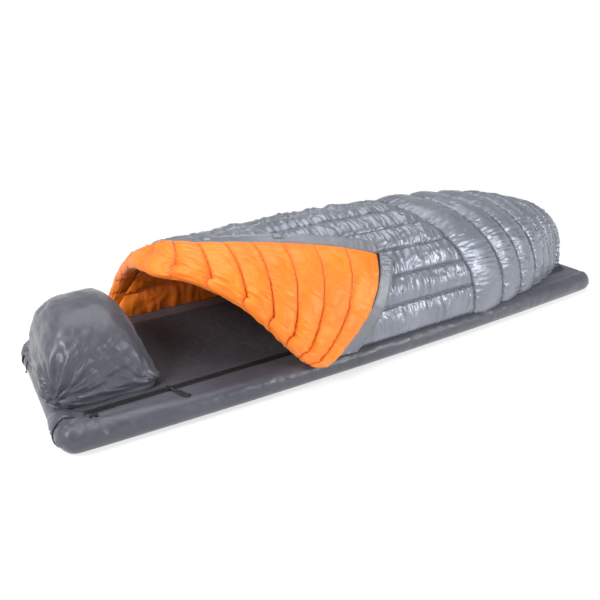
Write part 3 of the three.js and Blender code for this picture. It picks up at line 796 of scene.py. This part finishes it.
def flap_points(columns, top_rows, roll_rows):
    """The flap as one sheet: its free rim, its top, the roll of the fold, its inside."""
    t = (np.linspace(0, 1 + 4 / FLAP_CHAMBERS, columns))[None, :]
    share = (t * FLAP_CHAMBERS) % 1.0
    taper = 1 - 0.25 * smooth(0.6, 1.1, t) - 0.2 * smooth(1.1, 1.44, t)
    plump = 17 * puff(share) * taper

    u = np.linspace(1, 0, top_rows)[:, None]
    run = u * FLAP_REACH
    relief, from_seam = flap_relief(run + 0 * t, t + 0 * u, 401)
    fade = np.minimum(1, (1 - u) * 9)
    settle = lerp(1.0, 0.55, smooth(0.0, 0.55, u))
    thick = 14 * taper + plump * settle * np.sqrt(1 - u**6) - 9 * taper * u**6
    lift = 1.5 + thick + relief * fade
    x, around = flap_place(u, t, lift)
    top = arch_point(x, around, lift)
    top_uv = np.stack([run * MM + 0 * t, from_seam * MM], -1)

    angle = np.radians(np.linspace(84, -84, roll_rows))[:, None]
    run = -(np.pi / 2 - angle) * FOLD_RADIUS
    relief, from_seam = flap_relief(run + 0 * t, t + 0 * angle, 401)
    pinched = 21.5 * taper + 0.85 * plump
    loose = 32 * taper + 0.25 * plump + 16 * hill(t, 1.0, 0.24)
    radius = lerp(pinched, loose, np.cos(angle) ** 2) + relief
    lift = radius * np.sin(angle)
    slide = 0.035 * np.sin(np.pi * np.minimum(t, 1)) * (1 - np.sin(angle))
    around = np.maximum(fold_way(t) - slide, 0)
    x = fold_line(around + 0 * lift, lift) - 0.4 - radius * np.cos(angle)
    roll = arch_point(x, around + 0 * lift, lift)
    roll_uv = np.stack([run * MM + 0 * t, from_seam * MM], -1)

    inward = np.linspace(4, 60, 8)[:, None]
    lift = -pinched - 2 * inward / 60
    around = around[-1:]
    x = fold_line(around + 0 * lift, lift) + inward
    inside = arch_point(x, around + 0 * lift, lift)
    inside_uv = np.stack([(-0.2 - inward * MM) + 0 * t, from_seam[-1:] * MM + 0 * inward], -1)

    x, around = flap_place(np.ones((1, 1)), t, np.full((1, 1), 1.0))
    rim = arch_point(x, around, 1.0)
    points = np.concatenate([rim, top, roll[1:-1], inside])
    uv = np.concatenate([top_uv[:1], top_uv, roll_uv[1:-1], inside_uv])
    return points, uv


def add_flap():
    top_rows = 120
    points, uv = flap_points(521, top_rows, 44)
    side_edge = points[:, :1].copy()
    u = np.linspace(1, 0, top_rows)[:, None]
    x, around = flap_place(u, np.zeros((1, 1)), np.full((1, 1), 1.0))
    side_edge[1:top_rows + 1] = arch_point(x, around, 1.0)
    points = np.concatenate([side_edge, points], axis=1)
    uv = np.concatenate([uv[:, :1], uv], axis=1)
    flap = grid_object("flap_lining", points, uv, flip=True)
    nodes = [f"flap_chamber_{i}" for i in range(1, FLAP_CHAMBERS + 1)] + ["fold_roll"]
    finish_piece(flap, "quilt", LINING, nodes)


def beyond(x, around, tx, ta, distance):
    """A point beside a hem: footward of it, square to its run."""
    run_x, run_a = tx, ta * WAY_ROUND
    length = np.hypot(run_x, run_a)
    return x + run_a / length * distance, around - run_x / length * distance / WAY_ROUND


def head_band_place(t, distance):
    x, around = free_hem(t)
    x2, around2 = free_hem(t + 0.001)
    return beyond(x, around, x2 - x, around2 - around, distance)


def side_band_place(share, distance):
    zero = np.zeros_like(share)
    x, around = flap_place(share, zero, zero)
    x2, around2 = flap_place(share + 0.01, zero, zero)
    x, around = beyond(x, around, x2 - x, around2 - around, distance)
    return x, np.maximum(0, around)


def slab(name, place, along, low, high, height, relief, piping=False):
    """A flat band: place(along, distance) over a rounded section, with or without piped edges."""
    angles = full_turn(40)
    across = 0.5 + 0.5 * signed_power(np.cos(angles), 0.5)
    up = 0.5 + 0.5 * signed_power(np.sin(angles), 0.35)
    a = along[:, None] + 0 * angles
    distance = lerp(low, high, across)[None, :] + 0 * a
    x, around = place(a, distance)
    lift = 0.5 + height * up[None, :] + relief(a, across[None, :]) * up[None, :]
    if piping:
        lift = lift + 2.4 * hill(distance - high, -3, 2.6) * up[None, :]
        lift = lift + 1.6 * hill(distance - low, 3, 2.4) * up[None, :]
    return closed_tube(name, arch_point(x, around, lift))


def add_bands():
    """Flat facings beside the flap's free hems, bunched up where the hems meet."""
    wrinkle, gather = field(501), billow(503)

    def head_relief(t, across):
        bunch = np.exp(-t / 0.06)
        soft = 1.3 * wrinkle(t * 16, across * 1.4) + 0.7 * wrinkle(t * 60, across * 2 + 4)
        return soft + 5 * bunch * gather(t * 130, across)

    along = np.linspace(0.0, 1.4, 320)
    head = slab("head_hem_facing", head_band_place, along, 0.4, 44, 5.5, head_relief, True)
    finish_piece(head, "quilt", BINDING, ["head_hem_band"])

    def side_relief(share, across):
        bunch = np.exp(-(1 - share) / 0.07)
        soft = 1.3 * wrinkle(share * 7 + 30, across * 1.4) + 0.6 * wrinkle(share * 26, across + 9)
        return soft + 5 * bunch * gather(share * 50, across)

    def no_relief(share, across):
        return 0 * share + 0 * across

    along = np.linspace(0.05, 1.02, 220)
    side = slab("side_hem_facing", side_band_place, along, 8.5, 52, 5.5, side_relief, True)
    finish_piece(side, "quilt", BINDING, ["side_hem_band"])

    along = np.linspace(0.03, 1.01, 160)
    tape = slab("side_zip_tape", side_band_place, along, 1.0, 9.0, 6.0, no_relief)
    finish_piece(tape, "quilt", BLACK, ["side_hem_zip"])
    share = np.linspace(0.035, 1.0, 150)
    x, around = side_band_place(share, np.full_like(share, 4.2))
    line = arch_point(x, around, 8.6)
    teeth = zip_teeth("side_zip_teeth", line, (0, -0.6, 0.8), 2.0, 2.4, 1.25)
    finish_piece(teeth, "quilt", PLASTIC)


def add_hem_loop():
    """A small sewn loop on the head facing."""
    x, around = head_band_place(np.linspace(0.33, 0.36, 8), 30.0)
    line = arch_point(x, around, 9.0)
    rise = arch_point(x, around, 10.0) - line
    side_way, _ = frames_along(line, (0, -0.5, 1))
    angles = full_turn(20)
    wide = 9 * signed_power(np.cos(angles), 0.5)
    thick = 1.6 * np.sin(angles)
    ring = side_way[:, None] * wide[None, :, None]
    ring = ring + rise[:, None] * thick[None, :, None]
    tab = closed_tube("hem_loop", line[:, None] + ring)
    finish_piece(tab, "quilt", BINDING)


# ---- Mattress, sheet and zip ----


def gathers(points, centre, seed, reach, depth, axis=1):
    """Radial wrinkles round a centre, as seen along an axis."""
    offset = points - np.array(centre, float)
    distance = np.linalg.norm(offset, axis=-1)
    flat = [i for i in range(3) if i != axis]
    angle = np.arctan2(offset[..., flat[1]], offset[..., flat[0]])
    ripple = billow(seed)(angle * 5.5 + 20, distance / 90) - 0.4
    return depth * ripple * np.exp(-distance / reach) * np.minimum(1, distance / 14)


def add_mattress():
    """Rings across the mattress, each with two round edges and two flat faces."""
    ends = MAT_HALF_LENGTH - MAT_EDGE * (1 - np.cos(np.linspace(0, np.pi / 2, 16)))
    middle = np.linspace(-ends[-1], ends[-1], 300)
    x = np.concatenate([-ends[:-1], middle, ends[:-1][::-1]])
    into = np.clip((np.abs(x) - (MAT_HALF_LENGTH - MAT_EDGE)) / MAT_EDGE, 0, 1)
    end_height = np.sqrt(np.maximum(0, 1 - into**2))

    arc = np.linspace(-np.pi / 2, np.pi / 2, 18)
    flat = np.linspace(1, -1, 84)[1:-1]
    inner = np.concatenate([np.full(18, 1.0), flat, np.full(18, -1.0), -flat])
    bulge = np.concatenate([np.cos(arc), 0 * flat, -np.cos(arc), 0 * flat])
    height = np.concatenate([np.sin(arc), 0 * flat + 1, np.sin(arc[::-1]), 0 * flat - 1])
    width = mat_outline(x)[:, None]
    y = (width - MAT_EDGE) * inner[None, :] + MAT_EDGE * bulge[None, :]
    z = MAT_EDGE + MAT_EDGE * end_height[:, None] * height[None, :]
    points = np.stack([x[:, None] + 0 * y, y, z], -1)

    normal = np.stack([
        (np.sign(x) * into)[:, None] * (1 - 0.5 * np.abs(height[None, :])),
        bulge[None, :] + 0 * y,
        end_height[:, None] * height[None, :],
    ], -1)
    normal /= np.maximum(np.linalg.norm(normal, axis=-1), 1e-6)[..., None]
    under = height[None, :] < -0.2
    px, py, pz = points[..., 0], points[..., 1], points[..., 2]
    on_side = 1 - np.abs(height[None, :]) ** 3 + 0 * y
    soft = 1.4 * field(601)(px / 130, py / 60 + pz / 50)
    folds = 2.2 * (billow(603)(px / 34, pz / 60 + py / 90) - 0.4) * (0.25 + 0.75 * on_side)
    fine = 0.8 * (billow(606)(px / 14, pz / 30 + py / 40) - 0.4) * (0.3 + 0.7 * on_side)
    welt = -1.8 * hill(pz, MAT_EDGE, 3.0) * on_side
    on_top = height[None, :] > 0.98
    from_sides = np.abs(np.abs(py) - (width - MAT_EDGE - 12))
    from_ends = np.abs(np.abs(px) - SHEET_HALF_LENGTH)
    channel = -1.6 * hill(np.minimum(from_sides, from_ends), 0, 5) * on_top
    under_sheet = (np.abs(py) < SHEET_HALF_WIDTH + 24) & (np.abs(px) < SHEET_HALF_LENGTH + 7)
    relief = soft + folds + fine + welt + channel
    for centre, seed in (((-905, -232, 70), 621), ((-905, 232, 70), 625)):
        relief = relief + gathers(points, centre, seed, 70, 8, axis=2)
    for y_at in (-220, 196):
        off = np.hypot(py - y_at, np.maximum(0, px + 935) * 0.6)
        relief = relief + 5 * (1 - hill(off, 0, 8)) * hill(off, 0, 42) * (px < -880)
    relief = np.where(under_sheet & on_top, np.minimum(relief, 0) * 0.3, relief)
    relief = np.where(under, 0, relief)
    points = points + normal * relief[..., None]
    points[..., 2] = np.maximum(points[..., 2], 0)
    mat = closed_tube("mattress_cover", points)
    finish_piece(mat, "mat", COVER, ["air_mattress"])


def add_sheet():
    """A thin closed slab with soft waves, and creases fanning out from the pillow."""
    rows, columns = 420, 110
    v = np.linspace(-1, 1, columns)[None, :]
    u = np.linspace(-1, 1, rows)[:, None]
    past_corner = np.abs(u) * SHEET_HALF_LENGTH - (SHEET_HALF_LENGTH - SHEET_CORNER)
    into = np.clip(past_corner / SHEET_CORNER, 0, 1)
    width = SHEET_HALF_WIDTH - SHEET_CORNER * (1 - np.sqrt(1 - into**2 * 0.98))
    x = u * SHEET_HALF_LENGTH + 0 * v
    y = width * v
    wave = 1.7 * (billow(701)(x / 60 + y / 200, y / 46 - x / 160) - 0.2)
    wave += 0.8 * (billow(704)(x / 21, y / 17) - 0.2)
    spokes = 0
    for y_at in (-120, 10, 130):
        angle = np.arctan2(y - y_at, x + 660)
        far = np.hypot(x + 700, y - y_at)
        spokes = spokes + 1.7 * np.abs(field(707)(angle * 4 + y_at, 0.5)) * np.exp(-far / 130)
    edge = np.minimum(1, np.minimum((width - np.abs(y)) / 9, (SHEET_HALF_LENGTH - np.abs(x)) / 9))
    top = SHEET_OVER + np.maximum(0, wave + spokes) * np.maximum(0, edge)
    hem = 0.9 * hill(width - np.abs(y), 12, 1.6)
    upper = np.stack([x, y, top + hem], -1)
    lower = np.stack([x, y, np.full_like(x, SHEET_UNDER)], -1)
    faces = grid_faces(rows, columns)
    count = rows * columns
    faces += [[count + i for i in reversed(face)] for face in faces]
    ring = [i * columns for i in range(rows)]
    ring += [(rows - 1) * columns + i for i in range(1, columns)]
    ring += [i * columns + columns - 1 for i in reversed(range(rows - 1))]
    ring += list(reversed(range(1, columns - 1)))
    for a, b in zip(ring, ring[1:] + ring[:1]):
        faces.append([b, a, count + a, count + b])
    points = np.concatenate([upper.reshape(-1, 3), lower.reshape(-1, 3)])
    sheet = mesh_object("top_sheet", points, faces)
    finish_piece(sheet, "mat", SHEET, ["mattress_sheet"])


def zip_teeth(name, line, up, pitch, reach, size):
    """Two rows of interlocked teeth along a line; each tooth is a small rounded lozenge."""
    walked = walked_along(line)
    places = np.arange(pitch, walked[-1] - pitch, pitch)
    centres = np.stack([np.interp(places, walked, line[:, k]) for k in range(3)], -1)
    side, rise = frames_along(centres, up)
    ahead = np.cross(rise, side)
    profile = [(-1, -0.45), (-1, 0.45), (-0.5, 0.9), (0.5, 0.9), (1, 0.45), (1, -0.45)]
    points, faces = [], []
    for i, centre in enumerate(centres):
        hand = 1 if i % 2 else -1
        start = len(points)
        for along in (-0.42 * pitch, 0.42 * pitch):
            for across, height in profile:
                reached = across * reach / 2 + hand * reach * 0.32
                points.append(centre + side[i] * reached + rise[i] * height * size + ahead[i] * along)
        n = len(profile)
        faces.append([start + k for k in range(n)])
        faces.append([start + n + k for k in reversed(range(n))])
        for k in range(n):
            j = (k + 1) % n
            faces.append([start + k, start + n + k, start + n + j, start + j])
    return mesh_object(name, points, faces)


def add_zip():
    x = np.linspace(ZIP_START + 6, ZIP_END - 6, 400)
    line = np.stack([x, np.full_like(x, ZIP_Y), np.full_like(x, ZIP_TOP)], -1)
    teeth = zip_teeth("zip_coils", line, (0, 0, 1), 3.0, 5.6, 1.5)
    finish_piece(teeth, "mat", PLASTIC, ["zip_chain"])


def add_pull_strap():
    """The ribbed webbing puller, which droops and sways a little."""
    along = np.linspace(0, 1, 60)
    reach = lerp(STRAP_START, STRAP_END, along)
    drop = -2.6 - 0.6 * np.sin(np.pi * along) - 1.6 * along**3
    sway = 1.5 * np.sin(2.4 * along * np.pi)
    angles = full_turn(24)
    c, s = signed_power(np.cos(angles), 0.6), signed_power(np.sin(angles), 0.6)
    rib = 1 + 0.1 * np.abs(np.sin(along * 60))[:, None]
    half = (6.2 - 3.0 * np.exp(-along * 9))[:, None]
    across = sway[:, None] + half * c[None, :]
    up = drop[:, None] + 1.05 * rib * s[None, :]
    turn = np.array([math.cos(PULL_TURN), math.sin(PULL_TURN)])
    px = SLIDER_X + reach[:, None] * turn[0] - across * turn[1]
    py = ZIP_Y + reach[:, None] * turn[1] + across * turn[0]
    strap = closed_tube("pull_strap", np.stack([px, py, PULL_HEIGHT + up], -1))
    finish_piece(strap, "zip_pull", BLACK, ["zip_pull_webbing"])


# ---- Pillow ----


def add_pillow():
    """A square dome on a flat base, pulled out and gathered at its corners."""
    rows, columns = 150, 200
    phi = np.linspace(0.02, np.pi - 0.02, rows)[:, None]
    theta = full_turn(columns)[None, :]
    a = np.sin(phi) * np.cos(theta)
    b = -np.cos(phi) + 0 * theta
    c = np.sin(phi) * np.sin(theta)
    plan = np.maximum(np.hypot(a, b), 1e-6)
    radius = np.minimum(plan, 1) ** 0.85
    turn = np.arctan2(b / plan, a / plan)
    ear = 0.16 * hill(turn, -0.8, 0.3) + 0.06 * hill(turn, -2.4, 0.3)
    square = np.abs(a / plan) ** PILLOW_SQUARE + np.abs(b / plan) ** PILLOW_SQUARE
    spread = radius * (1 + ear * radius**6) / square ** (1 / PILLOW_SQUARE)
    x = PILLOW_X + PILLOW_HALF_LENGTH * spread * a / plan
    y = PILLOW_HALF_WIDTH * spread * b / plan
    dome = PILLOW_HEIGHT * (1 - radius**3.2) ** 0.52
    z = QUILT_BASE + np.where(c > 0, dome, 0)
    points = np.stack([x, y, z], -1)
    normal = np.stack([a, b * 0.8, c], -1)
    normal /= np.linalg.norm(normal, axis=-1)[..., None]
    low = smooth(QUILT_BASE, QUILT_BASE + 22, z)
    relief = 5 * field(801)(x / 90 + 3, y / 120)
    relief = relief + 2.6 * (billow(803)(x / 50 + z / 70, y / 80) - 0.4)
    relief = relief + 1.0 * (billow(806)(x / 18 + z / 30, y / 26) - 0.4)
    for centre, seed, depth in (
        ((-950, -185, 95), 821, 34),
        ((-712, -178, 80), 831, 18),
        ((-950, 165, 95), 841, 30),
        ((-712, 178, 80), 851, 18),
    ):
        relief = relief + gathers(points, centre, seed, 75, depth)
    base_pull = -7 * hill(z - QUILT_BASE, 8, 9)
    points = points + normal * ((relief + base_pull) * low)[..., None]
    points[..., 2] = np.maximum(points[..., 2], QUILT_BASE)
    pillow = closed_tube("pillow_cover", points)
    finish_piece(pillow, "mat", COVER, ["pillow"])


# ---- Cords and small fittings ----


def over_head_edge(from_y, to_y, lowest):
    """Points over the mattress's round head edge, down to an angle in degrees."""
    points = []
    radius = MAT_EDGE + CORD_RADIUS + 1
    angle = 90.0
    while angle >= lowest:
        share = (90 - angle) / (90 - lowest)
        turn = math.radians(angle)
        points.append((
            -MAT_HALF_LENGTH + MAT_EDGE - radius * math.cos(turn),
            lerp(from_y, to_y, share),
            MAT_EDGE + radius * math.sin(turn),
        ))
        angle -= 22.5
    return points


def add_tail():
    """The lock's free cord tail over the head edge, with its knot."""
    tail = [(LOCK_X - 8.5, 170, 74)] + over_head_edge(164, 138, 0)[1:]
    line = resample(tail, 5.0) * MM
    data = bpy.data.curves.new("lock_tail", "CURVE")
    data.dimensions = "3D"
    data.bevel_depth = CORD_RADIUS * MM
    data.bevel_resolution = 4
    data.resolution_u = 4
    spline = data.splines.new("POLY")
    spline.points.add(len(line) - 1)
    for point, place in zip(spline.points, line):
        point.co = (*place, 1)
    cord = bpy.data.objects.new("lock_tail", data)
    bpy.context.collection.objects.link(cord)
    finish_piece(cord, "mat", BRAID, ["cord_tail"])

    turns = np.linspace(0, 2 * np.pi, 60)
    knot = np.stack([
        -979.5 + 0.85 * (np.sin(turns) + 2 * np.sin(2 * turns)) * 0.8,
        138 + 0.85 * (np.cos(turns) - 2 * np.cos(2 * turns)),
        30.4 - 0.9 * np.sin(3 * turns),
    ], -1)
    knot = braided_tube("tail_knot", knot, KNOT_CORD_RADIUS, pitch=5.0, spacing=0.8)
    finish_piece(knot, "mat", BRAID, ["cord_knot"])


def add_held_cords():
    """The cords over the two head corners, held at both ends."""
    top = MAT_TOP + CORD_RADIUS + 1
    held = {
        "corner_cord_near": [(-893, -238, top), (-912, -231, top)] + over_head_edge(-212, -228, -45),
        "corner_cord_far_top": [(-893, 238, top), (-906, 226, top), (-916, 206, 74), (-924.5, 178, 76)],
        "corner_cord_far_end": [(-941.5, 178, 75)] + over_head_edge(184, 214, -45)[1:],
    }
    for node, points in held.items():
        tube = braided_tube(f"{node}_braid", points, HELD_CORD_RADIUS)
        finish_piece(tube, "mat", BRAID, [node])


def dress_frame():
    """Finishes for the CAD nodes that stay as they are."""
    finishes = {
        "valve_base": SILICONE,
        "valve_membrane": SILICONE,
        "valve_cap": PLASTIC,
        "valve_cap_strap": PLASTIC,
        "zip_tape": BLACK,
        "zip_slider": METAL,
        "zip_pull_tab": METAL,
        "corner_tab_near": BLACK,
        "corner_tab_far": BLACK,
        "cord_lock_body": PLASTIC,
        "cord_lock_button": PLASTIC,
        "cord_lock_spring": METAL,
    }
    for node, material in finishes.items():
        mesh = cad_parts[node].data
        mesh.materials.clear()
        mesh.materials.append(material)


add_camera()
add_tail()
add_held_cords()
add_lights()
add_world()
add_floor()
dress_frame()
add_mattress()
add_sheet()
add_zip()
add_pull_strap()
add_pillow()
add_quilt()
add_foot_end()
add_flap()
add_bands()
add_hem_loop()
